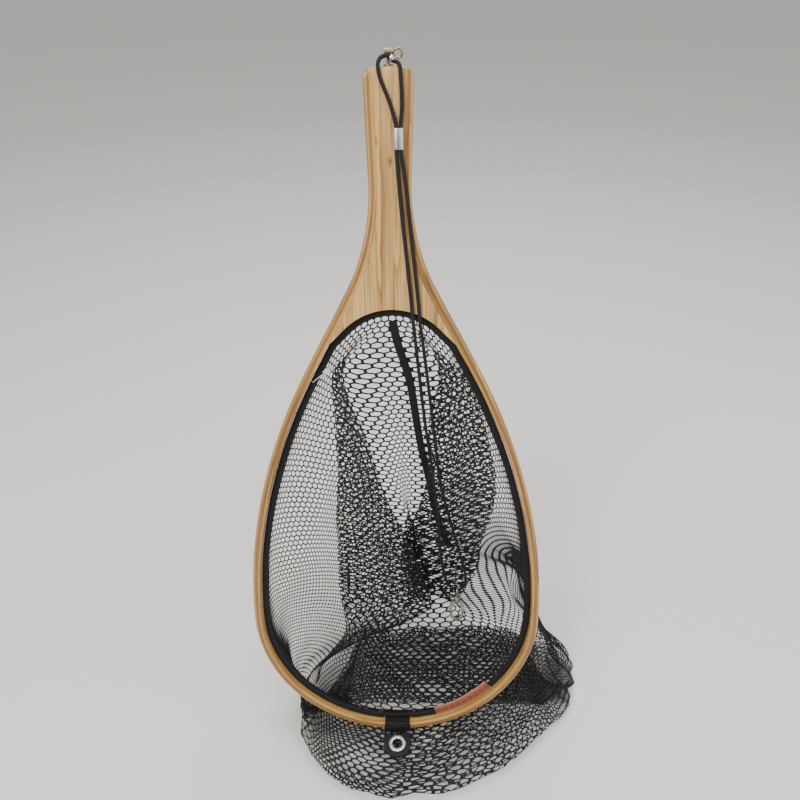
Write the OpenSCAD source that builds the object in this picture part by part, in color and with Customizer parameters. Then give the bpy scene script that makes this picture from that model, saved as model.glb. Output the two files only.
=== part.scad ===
// Landing net with a laminated wooden hoop, a knotless mesh bag and an elastic lanyard.
// The net leans back as it does against a wall: +Z is up, the hoop's open face looks along -Y,
// +X is to the right, and the origin is the centre of the swivel barrel on the handle's butt.
// Flat parts of the frame are drawn in the net plane: x across, y up the handle from the
// hoop's tip, z forward from the back face. net_plane() then leans and places them.

/* [Hoop] */
// Widest part of the hoop, outside
hoop_width = 274; // [240:1:330]
// From the hoop's tip to where its flare becomes the handle
hoop_length = 534; // [460:1:640]
// From the hoop's tip to the end of the handle's butt
frame_length = 616; // [590:1:740]
// Radius of the inward curve where the hoop flows into the handle
throat_radius = 168; // [120:1:200]
// How quickly the sides turn in: 1 is a straight cone, 2 is one S curve
side_turn = 1.7; // [1.4:0.05:1.85]

/* [Laminations] */
// Thickness of one bent strip, of which there are three
strip_wall = 2.4; // [1.6:0.1:3]
// Depth of the wooden frame from front to back
frame_depth = 15; // [12:0.5:20]
// Width of the groove for the lacing, outside the hoop
groove_width = 2.4; // [1.6:0.1:4]
// Depth of that groove
groove_depth = 1.2; // [0.6:0.1:1.4]

/* [Handle] */
// Narrowest width of the handle
handle_width = 33; // [28:0.5:42]
// Angle at which each edge widens towards the butt
butt_flare = 1.75; // [0.5:0.25:3]
// Radius of the butt's corners
butt_radius = 9; // [5:0.5:12]
// From the flare's end down to the top of the throat arch
throat_gap = 94; // [80:1:110]
// Radius of the throat arch
arch_radius = 55; // [45:1:65]

/* [Lacing] */
// Distance between lacing holes along the rim
lacing_pitch = 30; // [24:1:40]
// Radius of a lacing hole
lacing_hole_r = 0.9; // [0.7:0.1:1.1]
// Radius of the lacing thread
thread_r = 0.5; // [0.3:0.05:0.6]
// Width of the binding tape
tape_width = 6.5; // [5:0.5:10]
// Thickness of the binding tape
tape_wall = 2; // [1:0.1:3]

/* [Strap] */
// Width of the leather strap
strap_width = 27; // [20:1:34]
// Thickness of one ply of leather
leather = 1.6; // [1:0.1:2.2]
// Radius of the hole through the grommet
grommet_hole_r = 4.9; // [3.5:0.1:5.5]
// Outer radius of the grommet's flange
grommet_flange_r = 8.6; // [7.5:0.1:9.5]
// From the strap's hinge line to the grommet's centre
grommet_reach = 11; // [10:0.5:16]

/* [Swivel] */
// Height of the swivel's axis above the butt
swivel_height = 10; // [9:0.5:14]
// Radius of the swivel barrel
barrel_r = 2.7; // [2.2:0.1:3.2]
// Radius of the barrel's bore
barrel_bore_r = 1.3; // [1.1:0.1:1.5]
// Radial clearance of every turning pin
running = 0.07; // [0.03:0.01:0.1]

/* [Lanyard] */
// Diameter of the elastic cord
cord_d = 3; // [2.5:0.1:3.2]
// Length of the crimp that joins the two strands
crimp_length = 14.7; // [12:0.1:18]

/* [Clip] */
// Width of the hook
hook_width = 15; // [13:0.5:18]
// Thickness of the hook's body
hook_wall = 3.4; // [2.8:0.1:4.5]
// Length of the hook's body below its collar
hook_length = 25; // [22:0.5:32]
// Radius of the gate's pivot pin
gate_pin_r = 0.9; // [0.7:0.05:1.1]

/* [Stance] */
// Angle of the net from upright
lean = 17.25; // [10:0.25:25]
// Height of the hoop's lowest edge above the ground, with mesh bunched under it
ground_gap = 6; // [6:0.5:10]
// Thickness of the mesh bunched on the ground
spill_height = 3.2; // [2.5:0.1:3.5]

/* [Hidden] */
$fn = 72;

// ---- outline of the frame, right-hand side, in the net plane ----
function way(a) = [cos(a), sin(a)];
half_hoop = hoop_width / 2;
half_handle = handle_width / 2;
side_angle = side_turn * atan2(half_hoop - half_handle, hoop_length - half_hoop);
radii_sum = (hoop_length - half_hoop - (half_hoop - half_handle) / tan(side_angle))
  * sin(side_angle) / (1 - cos(side_angle));
side_radius = radii_sum - throat_radius;
taper_length = (half_hoop - half_handle - radii_sum * (1 - cos(side_angle))) / sin(side_angle);
side_centre = [half_hoop - side_radius, half_hoop];
side_end = side_centre + side_radius * way(side_angle);
throat_start = side_end + taper_length * way(side_angle + 90);
throat_centre = throat_start + throat_radius * way(side_angle);
handle_start = throat_centre - throat_radius * way(-butt_flare);
half_butt = handle_start[0] + (frame_length - handle_start[1]) * tan(butt_flare);
rim_wall = 3 * strip_wall;
tip_arc = half_hoop * PI / 2;
side_arc = side_radius * side_angle * PI / 180;

// Right half of the frame's outline at an inset, from the tip to just past the butt
past_butt = 5;
function along_arc(centre, radius, from, to, steps) =
  [for (k = [0 : steps]) centre + radius * way(from + (to - from) * k / steps)];
function half_frame(inset) = concat(
  along_arc([0, half_hoop], half_hoop - inset, -90, -3, 29),
  along_arc(side_centre, side_radius - inset, 0, side_angle, 16),
  along_arc(throat_centre, throat_radius + inset, 180 + side_angle, 180 - butt_flare, 12),
  [handle_start - inset * way(-butt_flare)
    + (frame_length + past_butt - handle_start[1]) * way(90 - butt_flare) / cos(butt_flare)]
);
function frame_outline(inset) =
  let (half = half_frame(inset)) concat(half, flipped(half));

// A point on the rim's outer edge at a distance along it from the tip, and the way it faces
function rim_angle(s) =
  s < tip_arc ? -90 + s / half_hoop * 180 / PI
  : min(side_angle, (s - tip_arc) / side_radius * 180 / PI);
function rim_point(s) =
  s < tip_arc ? [0, half_hoop] + half_hoop * way(rim_angle(s))
  : s < tip_arc + side_arc ? side_centre + side_radius * way(rim_angle(s))
  : side_end + (s - tip_arc - side_arc) * way(side_angle + 90);

// ---- throat arch and the opening ----
arch_top = hoop_length - throat_gap;
arch_centre = [0, arch_top - arch_radius];
arch_spread = 45;
function cross2(a, b) = a[0] * b[1] - a[1] * b[0];
// Where the straight end of the arch meets the rim, both moved in by an inset
function throat_corner(inset) =
  let (
    p = side_end - inset * way(side_angle), along = way(side_angle + 90),
    q = arch_centre + (arch_radius - inset + rim_wall) * way(90 - arch_spread),
    down = way(-arch_spread)
  ) p + along * cross2(q - p, down) / cross2(along, down);
// Right half of the opening's outline, from the tip to the arch, at an inset from the rim's
// outer edge
function half_opening(inset) = concat(
  [for (a = [-90 : 10 : -10]) [0, half_hoop] + (half_hoop - inset) * way(a)],
  [for (k = [0 : 8]) side_centre + (side_radius - inset) * way(side_angle * k / 8)],
  [throat_corner(inset)],
  [for (k = [0 : 3])
    arch_centre + (arch_radius - inset + rim_wall) * way(90 - arch_spread * (1 - k / 4))]
);
function flipped(points) = [for (k = [len(points) - 1 : -1 : 1]) [-points[k][0], points[k][1]]];
function opening(inset) = concat(
  half_opening(inset), [arch_centre + (arch_radius - inset + rim_wall) * way(90)],
  flipped(half_opening(inset))
);

// ---- placing things ----
swivel_y = frame_length + swivel_height;
mid_depth = frame_depth / 2;
module net_plane() rotate([90 - lean, 0, 0]) translate([0, -swivel_y, -mid_depth]) children();
function in_row(p) =
  let (up = p[1] - swivel_y, out = p[2] - mid_depth)
  [p[0], up * sin(lean) - out * cos(lean), up * cos(lean) + out * sin(lean)];
ground = in_row([0, 0, 0])[2] - ground_gap;

// ---- runs of a profile along the rim; a profile's x is its inset, and its y its depth ----
module both_sides() {
  children();
  mirror([1, 0, 0]) children();
}
module bend(centre, radius, from, to)
  translate([centre[0], centre[1], 0]) rotate([0, 0, from])
    rotate_extrude(angle = to - from) translate([radius, 0]) children();
// A straight run reaches a hair into the bends at its ends, so that they join
seam = 0.02;
module straight(start, angle, length)
  translate(concat(start - seam * way(angle + 90), 0)) rotate([90, 0, 180 + angle])
    linear_extrude(length + 2 * seam) children();
module along_hoop() {
  bend([0, half_hoop], half_hoop, -180, 0) mirror([1, 0]) children();
  both_sides() {
    straight([half_hoop, half_hoop], 0, 0) children();
    bend(side_centre, side_radius, 0, side_angle) mirror([1, 0]) children();
    straight(side_end, side_angle, taper_length) children();
  }
}
module butt_shape() {
  round_y = frame_length - butt_radius;
  translate([-hoop_width, -past_butt]) square([2 * hoop_width, round_y + past_butt]);
  translate([butt_radius - half_butt, round_y - 1])
    square([2 * (half_butt - butt_radius), butt_radius + 1]);
  for (side = [-1, 1]) translate([side * (half_butt - butt_radius), round_y]) circle(butt_radius);
}

// ---- lacing ----
first_hole = 16;
rim_to_corner = norm(throat_corner(0) - side_end) + tip_arc + side_arc;
holes_a_side = floor((rim_to_corner - first_hole - 10) / lacing_pitch) + 1;
module at_each_hole() both_sides() for (k = [0 : holes_a_side - 1]) {
  s = first_hole + k * lacing_pitch;
  translate([rim_point(s)[0], rim_point(s)[1], mid_depth])
    rotate([0, -90, rim_angle(s)]) children();
}
module lacing_holes() at_each_hole() translate([0, 0, -1]) cylinder(r = lacing_hole_r, h = rim_wall + 2);

module band(from_inset, to_inset) difference() {
  polygon(frame_outline(from_inset));
  polygon(frame_outline(to_inset));
}
module strip(number) difference() {
  linear_extrude(frame_depth) intersection() {
    band(number * strip_wall, (number + 1) * strip_wall);
    butt_shape();
  }
  lacing_holes();
}
module outer_strip() color([0.80, 0.60, 0.34]) net_plane() difference() {
  strip(0);
  translate([0, 0, mid_depth - groove_width / 2]) linear_extrude(groove_width)
    intersection() {
      band(-1, groove_depth);
      translate([-hoop_width, -past_butt]) square([2 * hoop_width, throat_start[1] + past_butt]);
    }
}
module middle_strip() color([0.62, 0.40, 0.20]) net_plane() strip(1);
module inner_strip() color([0.80, 0.60, 0.34]) net_plane() strip(2);

// ---- handle ----
shank_r = 1.5;
shank_length = 18;
module core_outline() {
  foot = arch_centre + arch_radius * way(90 - arch_spread);
  reach = foot[0] + hoop_width;
  low = foot[1] - hoop_width * tan(arch_spread);
  difference() {
    polygon(frame_outline(rim_wall));
    translate(arch_centre) circle(arch_radius);
    polygon([
      foot, [-foot[0], foot[1]], [-reach, low], [-reach, -hoop_width], [reach, -hoop_width],
      [reach, low]
    ]);
  }
}
module handle_core() color([0.87, 0.72, 0.47]) net_plane() difference() {
  linear_extrude(frame_depth) intersection() {
    core_outline();
    butt_shape();
  }
  translate([0, frame_length - shank_length, mid_depth]) rotate([-90, 0, 0])
    cylinder(r = shank_r, h = shank_length + 1);
}

// ---- swivel on the butt ----
collar_height = 1.6;
post_collar_r = 3.4;
post_neck_r = 1.3;
barrel_length = 2 * barrel_r;
module barrel_blank() translate([-barrel_length / 2, swivel_y, mid_depth]) rotate([0, 90, 0])
  cylinder(r = barrel_r, h = barrel_length);
module screw_post() color([0.42, 0.24, 0.14]) net_plane() difference() {
  translate([0, frame_length, mid_depth]) rotate([-90, 0, 0]) {
    cylinder(r = post_collar_r, h = collar_height);
    translate([0, 0, -shank_length]) cylinder(r = shank_r, h = shank_length);
    cylinder(r = post_neck_r, h = swivel_height);
  }
  barrel_blank();
}
module swivel_barrel() color([0.46, 0.36, 0.22]) net_plane() difference() {
  barrel_blank();
  translate([-barrel_length, swivel_y, mid_depth]) rotate([0, 90, 0])
    cylinder(r = barrel_bore_r, h = 2 * barrel_length);
}

// ---- mesh bag, its tape and what is sewn to it ----
tape_edge = rim_wall + 0.3;
tape_inset = tape_edge + tape_width;
tape_back = mid_depth - tape_wall / 2;
tape_front = mid_depth + tape_wall / 2;
loop_gap = 0.2;
strap_degrees = strap_width / half_hoop * 180 / PI;
module strap_arc(from_inset, to_inset, back, front)
  bend([0, half_hoop], half_hoop, -90 - strap_degrees / 2, -90 + strap_degrees / 2)
    mirror([1, 0]) translate([from_inset, back]) square([to_inset - from_inset, front - back]);
module binding_tape() color([0.05, 0.05, 0.06]) net_plane() difference() {
  translate([0, 0, tape_back]) linear_extrude(tape_wall) difference() {
    polygon(opening(tape_edge));
    polygon(opening(tape_inset));
  }
  bend([0, half_hoop], half_hoop, -90 - strap_degrees / 2 - 1, -90 + strap_degrees / 2 + 1)
    mirror([1, 0]) translate([0, -1])
      square([rim_wall + 2 * loop_gap + leather + 0.3, frame_depth + 2]);
}
module lacing_thread() color([0.08, 0.08, 0.09]) net_plane() {
  along_hoop() translate([thread_r + 0.1, mid_depth]) circle(thread_r, $fn = 8);
  at_each_hole() translate([0, 0, 0.2]) cylinder(r = thread_r, h = tape_edge + 1.3, $fn = 8);
}

bag_wall = 1.5;
mouth = opening(tape_inset);
mouth_depth = tape_back - 0.3;
columns = len(mouth);
mouth_middle = (hoop_length - throat_gap) * 0.45;
spill_centre = [48, in_row([0, 0, 0])[1] + 10];
spill_x = 148;
spill_y = 90;
function column_angle(i) =
  atan2((mouth[i][1] - mouth_middle) / hoop_length, mouth[i][0] / half_hoop / 1.1);
function spill(i, grow, z) = [
  spill_centre[0] + spill_x * grow * cos(column_angle(i)),
  spill_centre[1] + spill_y * grow * sin(column_angle(i)), z
];
// The side panel of the bag: t goes from 0 at the tape to 1 at the fold on the ground
function side_panel(i, t) =
  let (
    a = in_row([mouth[i][0], mouth[i][1], mouth_depth]),
    c = spill(i, 1, ground + spill_height),
    height = a[2] - ground,
    b = [
      0.75 * a[0] + 0.25 * c[0], a[1] + 45,
      ground + 0.22 * height - 14 * (1 - min(1, height / 150))
    ],
    p = (1 - t) * (1 - t) * a + 2 * t * (1 - t) * b + t * t * c
  ) [p[0], p[1], max(p[2], ground + spill_height)];
function side_panel_inside(i, t, wall) =
  let (
    j = (i + 1) % columns, k = (i + columns - 1) % columns,
    across = side_panel(j, t) - side_panel(k, t),
    down = side_panel(i, min(1, t + 0.02)) - side_panel(i, max(0, t - 0.02)),
    out = cross(across, down)
  ) side_panel(i, t) + wall * out / norm(out);
depths = [0, 0.07, 0.15, 0.25, 0.37, 0.5, 0.63, 0.76, 0.88, 1];
rings = len(depths);
bag_outside = concat(
  [for (t = depths) for (i = [0 : columns - 1]) side_panel(i, t)],
  [for (i = [0 : columns - 1]) spill(i, 1, ground)]
);
bag_inside = concat(
  [for (r = [0 : rings - 2]) for (i = [0 : columns - 1])
    side_panel_inside(i, depths[r], bag_wall)],
  [for (i = [0 : columns - 1]) spill(i, 0.985, ground + spill_height - bag_wall)],
  [for (i = [0 : columns - 1]) spill(i, 0.985, ground + bag_wall)]
);
function quads(start, flip) = [
  for (r = [0 : rings - 1]) for (i = [0 : columns - 1])
    let (
      a = start + r * columns + i, b = start + r * columns + (i + 1) % columns,
      c = b + columns, d = a + columns
    ) each (flip ? [[a, c, b], [a, d, c]] : [[a, b, c], [a, c, d]])
];
module net_bag() color([0.07, 0.07, 0.08, 0.6]) {
  inside_start = len(bag_outside);
  last_outside = inside_start - columns;
  last_inside = 2 * inside_start - columns;
  polyhedron(
    points = concat(bag_outside, bag_inside, [
      [spill_centre[0], spill_centre[1], ground],
      [spill_centre[0], spill_centre[1], ground + bag_wall]
    ]),
    faces = concat(
      quads(0, false), quads(inside_start, true),
      [for (i = [0 : columns - 1]) let (j = (i + 1) % columns)
        each [[i, inside_start + i, inside_start + j], [i, inside_start + j, j]]],
      [for (i = [0 : columns - 1]) let (j = (i + 1) % columns)
        [last_outside + i, last_outside + j, 2 * inside_start]],
      [for (i = [0 : columns - 1]) let (j = (i + 1) % columns)
        [last_inside + j, last_inside + i, 2 * inside_start + 1]]
    )
  );
}

// The black tape sewn over the bag's seam, down the back panel from the throat. It lies on the
// bag's inner facets: ring r of the bag, and a distance to the right of the throat's middle.
throat_column = (columns - 1) / 2;
seam_width = 7;
seam_drift = 34;
seam_rings = 6;
function on_inside(r, right, lift) =
  let (
    t = depths[r], pitch = norm(side_panel(throat_column - 1, t) - side_panel(throat_column, t)),
    column = throat_column - right / pitch, near = floor(column), part = column - near
  ) (1 - part) * side_panel_inside(near, t, bag_wall + lift)
    + part * side_panel_inside(near + 1, t, bag_wall + lift);
function seam_edge(r, side, lift) =
  on_inside(r, seam_drift * depths[r] + side * seam_width / 2, lift);
module seam_tape() color([0.03, 0.03, 0.035]) {
  low = 0.9;
  high = 1.7;
  last = seam_rings - 1;
  polyhedron(
    points = [for (r = [1 : seam_rings]) each [
      seam_edge(r, -1, low), seam_edge(r, 1, low), seam_edge(r, 1, high), seam_edge(r, -1, high)
    ]],
    faces = concat(
      [for (k = [0 : last - 1]) for (e = [0 : 3]) let (
        a = 4 * k + e, b = 4 * k + (e + 1) % 4
      ) each [[a, b, b + 4], [a, b + 4, a + 4]]],
      [[3, 2, 1, 0]], [[for (e = [0 : 3]) 4 * last + e]]
    )
  );
}
label_height = 10;
label_wall = 0.8;
label_gap = 0.4;
label_from = -71.5;
label_to = -42;
module label() color([0.60, 0.22, 0.12]) net_plane()
  bend([0, half_hoop], half_hoop - rim_wall - label_gap - label_height, label_from, label_to)
    translate([0, tape_front]) square([label_height, label_wall]);
tie_r = 0.55;
tie_length = 16;
module tag_tie() color([0.85, 0.88, 0.9, 0.5]) net_plane() {
  tie_s = tip_arc + side_arc - 8;
  start = rim_point(tie_s) - (tape_edge + 2) * way(rim_angle(tie_s));
  translate([-start[0], start[1], tape_front + 1]) rotate([0, 90, 38]) {
    cylinder(r = tie_r, h = tie_length);
    translate([-1.4, -2.2, 13]) cube([0.9, 4.4, 6]);
    translate([-1, -0.4, 13]) cube([1.4, 0.8, 3]);
  }
}

// ---- leather strap ----
loop_back = -loop_gap - leather;
loop_front = frame_depth + loop_gap + leather;
module leather_loop() color([0.06, 0.06, 0.06]) net_plane() difference() {
  strap_arc(-loop_gap - leather, rim_wall + loop_gap + leather, loop_back, loop_front);
  bend([0, half_hoop], half_hoop, -91 - strap_degrees / 2, -89 + strap_degrees / 2)
    mirror([1, 0]) translate([-loop_gap, -loop_gap])
      square([rim_wall + 2 * loop_gap, frame_depth + 2 * loop_gap]);
}
// The tab's own frame: x across, y towards its rounded end, z up through its thickness
tab_rise = 5;
tab_drop = 2.6;
tab_hinge = in_row([0, -tab_drop, loop_front + leather + 0.3]);
tab_wall = 2 * leather;
tab_gap = 0.2;
module tab_frame() translate(tab_hinge) rotate([tab_rise, 0, 180]) children();
grommet_barrel_r = grommet_hole_r + 1;
flange_wall = 1;
washer_wall = 0.7;
module leather_tab() color([0.06, 0.06, 0.06]) tab_frame() difference() {
  translate([0, 0, -tab_wall / 2]) linear_extrude(tab_wall) {
    translate([-strap_width / 2, tab_gap]) square([strap_width, grommet_reach - tab_gap]);
    intersection() {
      translate([0, grommet_reach]) circle(strap_width / 2);
      translate([-strap_width / 2, tab_gap]) square([strap_width, grommet_reach + strap_width]);
    }
  }
  translate([0, grommet_reach, -tab_wall]) cylinder(r = grommet_barrel_r, h = 2 * tab_wall);
}
module grommet() color([0.75, 0.76, 0.78]) tab_frame() translate([0, grommet_reach, 0])
  difference() {
    union() {
      translate([0, 0, -tab_wall / 2 - washer_wall - 0.2])
        cylinder(r = grommet_barrel_r, h = tab_wall + washer_wall + 0.2 + flange_wall);
      translate([0, 0, tab_wall / 2]) cylinder(r = grommet_flange_r, h = flange_wall);
    }
    translate([0, 0, -tab_wall]) cylinder(r = grommet_hole_r, h = 3 * tab_wall);
  }
module grommet_washer() color([0.70, 0.71, 0.73]) tab_frame()
  translate([0, grommet_reach, -tab_wall / 2 - washer_wall]) difference() {
    cylinder(r = grommet_flange_r - 0.4, h = washer_wall);
    translate([0, 0, -1]) cylinder(r = grommet_barrel_r, h = washer_wall + 2);
  }

// ---- lanyard ----
ring_r = 3.2;
ring_wire = 0.9;
ring_tilt = 30;
module ring_eye() color([0.40, 0.34, 0.24]) net_plane() translate([0, swivel_y, mid_depth]) {
  translate([-0.5, 0, 0]) rotate([0, 90, 0])
    cylinder(r = barrel_bore_r - running, h = barrel_length / 2 + 1.9);
  rotate([ring_tilt, 0, 0]) translate([barrel_length / 2 + 0.2 + ring_wire + ring_r, -1, 0])
    rotate_extrude() translate([ring_r, 0]) circle(ring_wire);
}
// A flattened metal band round two cords side by side, its length along z
crimp_web = 0.3;
crimp_wall = 0.6;
module crimp_band(length) {
  thick = cord_d + 2 * crimp_wall;
  width = thick + cord_d + crimp_web;
  r = thick / 2;
  linear_extrude(length) difference() {
    union() {
      square([width - thick, thick], center = true);
      for (side = [-1, 1]) translate([side * (width / 2 - r), 0]) circle(r);
    }
    for (side = [-1, 1]) translate([side * (width / 2 - r), 0]) circle(cord_d / 2);
  }
}
loop_crimp_at = [3.95, frame_length + 4.85, 11.6];
loop_crimp_length = 2.6;
module loop_crimp() color([0.78, 0.78, 0.80]) net_plane() translate(loop_crimp_at)
  rotate([-90, 0, -45]) translate([0, 0, -loop_crimp_length / 2]) crimp_band(loop_crimp_length);
face = frame_depth + cord_d / 2;
cord_crimp_at = [7, frame_length - 48.6, face + 1.1];
module cord_crimp() color([0.74, 0.74, 0.80]) net_plane()
  translate(cord_crimp_at - [0, crimp_length / 2, 0]) rotate([-90, 0, 0])
    crimp_band(crimp_length);

// Route of the doubled elastic cord, in the net plane: out of the small crimp, down the right
// strand, through the clip's eye, up the left strand and over into the small crimp again. It
// lies on the handle's face from the butt to the throat arch and hangs free below
clip_hang = [64, 116, -61];
strand = (cord_d + crimp_web) / 2;
cord_route = [
  [2.9, frame_length + 3.8, 11.6], [5.2, frame_length + 3, 13.4], [7.4, frame_length + 1.4, face - 0.6],
  [8.8, frame_length - 3.4, face + 0.5], [9.8, frame_length - 24, face + 0.7],
  cord_crimp_at + [strand, 7.6, 0], cord_crimp_at + [strand, -7.4, 0],
  [11.2, frame_length - 74, face + 0.6], [13.5, frame_length - 92, face + 0.4],
  [17.5, arch_top + 45, face + 0.4], [21.6, arch_top + 6, face + 0.4],
  [22.8, arch_top - 9, face + 0.4], [25, arch_top - 26, 11],
  [31, 364, -7], [36, 320, -20], [43, 260, -36], [52, 220, -45], [64, 172, -53], [72, 140, -58],
  [72, 124, -60], clip_hang, [55, 124, -60], [49, 142, -57], [45, 172, -52], [42, 212, -45],
  [36, 268, -33], [29, 320, -20], [24, 364, -7],
  [19, arch_top - 25, 11], [17.2, arch_top - 8, face + 0.4],
  [16, arch_top + 6, face + 0.4], [12, arch_top + 45, face + 0.4],
  [8, frame_length - 92, face + 0.4], cord_crimp_at - [strand, 7.4, 0],
  cord_crimp_at - [strand, -7.6, 0], [1.5, frame_length - 26, face + 0.7],
  [-5.4, frame_length - 9, face + 0.4], [-7.2, frame_length - 0.8, face + 0.2],
  [-6.2, frame_length + 4.4, 14.2], [-2.6, frame_length + 6.9, 11.9], [3.5, frame_length + 6.8, 11.6]
];
cord_sides = 8;
function smooth(p, k, t) =
  let (
    a = p[max(0, k - 1)], b = p[k], c = p[k + 1], d = p[min(len(p) - 1, k + 2)]
  ) 0.5 * (2 * b + (c - a) * t + (2 * a - 5 * b + 4 * c - d) * t * t
    + (3 * b - a - 3 * c + d) * t * t * t);
cord_line = concat(
  [for (k = [0 : len(cord_route) - 2]) each [in_row(cord_route[k]), in_row(smooth(cord_route, k, 0.5))]],
  [in_row(cord_route[len(cord_route) - 1])]
);
function unit(v) = v / norm(v);
module cord_tube(line, radius) {
  last = len(line) - 1;
  points = [for (k = [0 : last]) let (
      along = unit(line[min(last, k + 1)] - line[max(0, k - 1)]),
      first = unit(cross(along, [0.35, 0.9, 0.25])), second = cross(along, first)
    ) for (e = [0 : cord_sides - 1])
      line[k] + radius * (cos(360 * e / cord_sides) * first + sin(360 * e / cord_sides) * second)];
  polyhedron(
    points = points,
    faces = concat(
      [for (k = [0 : last - 1]) for (e = [0 : cord_sides - 1]) let (
        a = cord_sides * k + e, b = cord_sides * k + (e + 1) % cord_sides
      ) each [[a, b + cord_sides, b], [a, a + cord_sides, b + cord_sides]]],
      [[for (e = [0 : cord_sides - 1]) e]],
      [[for (e = [cord_sides - 1 : -1 : 0]) cord_sides * last + e]]
    )
  );
}
module lanyard_cord() color([0.09, 0.09, 0.10]) cord_tube(cord_line, cord_d / 2);

// ---- clip; its own frame has z up its length, x across, y through its thickness ----
clip_tilt = 22;
clip_at = in_row(clip_hang);
module clip_frame() translate(clip_at) rotate([-clip_tilt, 0, 0]) children();
eye_wire = 1.1;
eye_collar_r = 2.3;
eye_hole = cord_d / 2 + 1.1;
eye_r = eye_hole + eye_wire;
eye_drop = eye_hole - cord_d / 2 - 0.3;
neck_top = -eye_drop - eye_r;
neck_r = 1.5;
collar_r = 3.3;
collar_top = neck_top - 2.2;
collar_length = 4.6;
hook_top = collar_top - collar_length;
head_r = neck_r + 0.7;
head_height = 0.8;
head_bottom = hook_top + 0.2;
module hook_frame() clip_frame() mirror([1, 0, 0]) children();
module swivel_eye() color([0.70, 0.70, 0.70]) clip_frame() {
  translate([0, 0, -eye_drop]) rotate([0, 90, 0]) rotate_extrude() translate([eye_r, 0])
    circle(eye_wire);
  translate([0, 0, collar_top + 0.4]) cylinder(r = eye_collar_r, h = 1.2);
  translate([0, 0, head_bottom]) cylinder(r = neck_r, h = neck_top - head_bottom + 0.1);
  translate([0, 0, head_bottom]) cylinder(r = head_r, h = head_height);
}
hook_ring_r = hook_width / 2;
hook_bar = 2.9;
gate_pin_at = [hook_ring_r - hook_bar / 2 - 0.2, hook_top - hook_ring_r - 0.4];
cheek_r = 2.1;
cheek_wall = 0.8;
gate_end = [hook_ring_r - hook_bar / 2, hook_top - hook_length + hook_ring_r + 1];
module oval(radius) {
  translate([0, hook_top - hook_ring_r]) circle(radius);
  translate([-radius, hook_top - hook_length + hook_ring_r])
    square([2 * radius, hook_length - 2 * hook_ring_r]);
  translate([0, hook_top - hook_length + hook_ring_r]) circle(radius);
}
module upright() rotate([90, 0, 0]) translate([0, 0, -hook_wall / 2]) linear_extrude(hook_wall)
  children();
module hook_body() color([0.62, 0.62, 0.62]) hook_frame() difference() {
  union() {
    upright() difference() {
      oval(hook_ring_r);
      oval(hook_ring_r - hook_bar);
      translate([0, gate_end[1]])
        square([hook_width, gate_pin_at[1] + 2.2 - gate_end[1]]);
    }
    translate([0, 0, hook_top - 1.8]) cylinder(r = collar_r, h = collar_length + 1.8);
    for (side = [-1, 1]) translate([0, side * (hook_wall - cheek_wall) / 2 - cheek_wall / 2, 0])
      rotate([90, 0, 0]) mirror([0, 0, 1]) linear_extrude(cheek_wall) hull() {
        translate(gate_pin_at) circle(cheek_r, $fn = 32);
        translate([hook_ring_r - hook_bar - 1.4, gate_pin_at[1] + 4.4]) circle(1.4, $fn = 32);
      }
  }
  translate([0, 0, hook_top - 0.2]) cylinder(r = neck_r + running, h = collar_length + 1);
  translate([0, 0, head_bottom - 0.3]) cylinder(r = head_r + running, h = head_height + 0.5);
  translate([gate_pin_at[0], 0, gate_pin_at[1]]) rotate([90, 0, 0])
    cylinder(r = gate_pin_r, h = 2 * hook_wall, center = true);
}
module gate_pin() color([0.55, 0.55, 0.56]) hook_frame()
  translate([gate_pin_at[0], 0, gate_pin_at[1]]) rotate([90, 0, 0])
    cylinder(r = gate_pin_r, h = hook_wall + 0.3, center = true);
gate_wall = hook_wall - 1.9;
gate_eye_r = 1.8;
module gate_lever() color([0.78, 0.78, 0.78]) hook_frame() difference() {
  union() {
    rotate([90, 0, 0]) translate([0, 0, -gate_wall / 2]) linear_extrude(gate_wall) {
      translate(gate_pin_at) circle(gate_eye_r);
      translate([gate_end[0] - 1, gate_end[1] + 0.3])
        square([2, gate_pin_at[1] - gate_end[1] - 0.3]);
    }
    translate([gate_end[0] + 1, 0, gate_pin_at[1] - 4.6]) rotate([0, 90, 0])
      cylinder(r = 1.5, h = 1.6);
  }
  translate([gate_pin_at[0], 0, gate_pin_at[1]]) rotate([90, 0, 0])
    cylinder(r = gate_pin_r + running, h = 2 * hook_wall, center = true);
}
spring_wire = 0.22;
module gate_spring() color([0.5, 0.5, 0.5]) hook_frame()
  translate([gate_pin_at[0] - 2.2, 0, gate_pin_at[1] + 1.9]) rotate([90, 0, 0])
    for (k = [-1 : 1]) translate([0, 0, k * 1.8 * spring_wire])
      rotate_extrude() translate([0.42, 0]) circle(spring_wire);

outer_strip();
middle_strip();
inner_strip();
handle_core();
screw_post();
swivel_barrel();
binding_tape();
lacing_thread();
net_bag();
seam_tape();
label();
tag_tie();
leather_loop();
leather_tab();
grommet();
grommet_washer();
ring_eye();
loop_crimp();
lanyard_cord();
cord_crimp();
swivel_eye();
hook_body();
gate_pin();
gate_spring();
gate_lever();
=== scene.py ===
"""Looks of the landing net: laminated wood, hexagonal mesh bag, leather strap and elastic lanyard.

Shapes on the wooden frame are drawn in the net plane, in millimetres: u across, v up the handle
from the hoop's tip, w forward from the back face. in_row() leans them into the CAD frame, in metres.
"""
import math

import bmesh
import bpy
import numpy as np
from mathutils import Matrix, Vector


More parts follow.
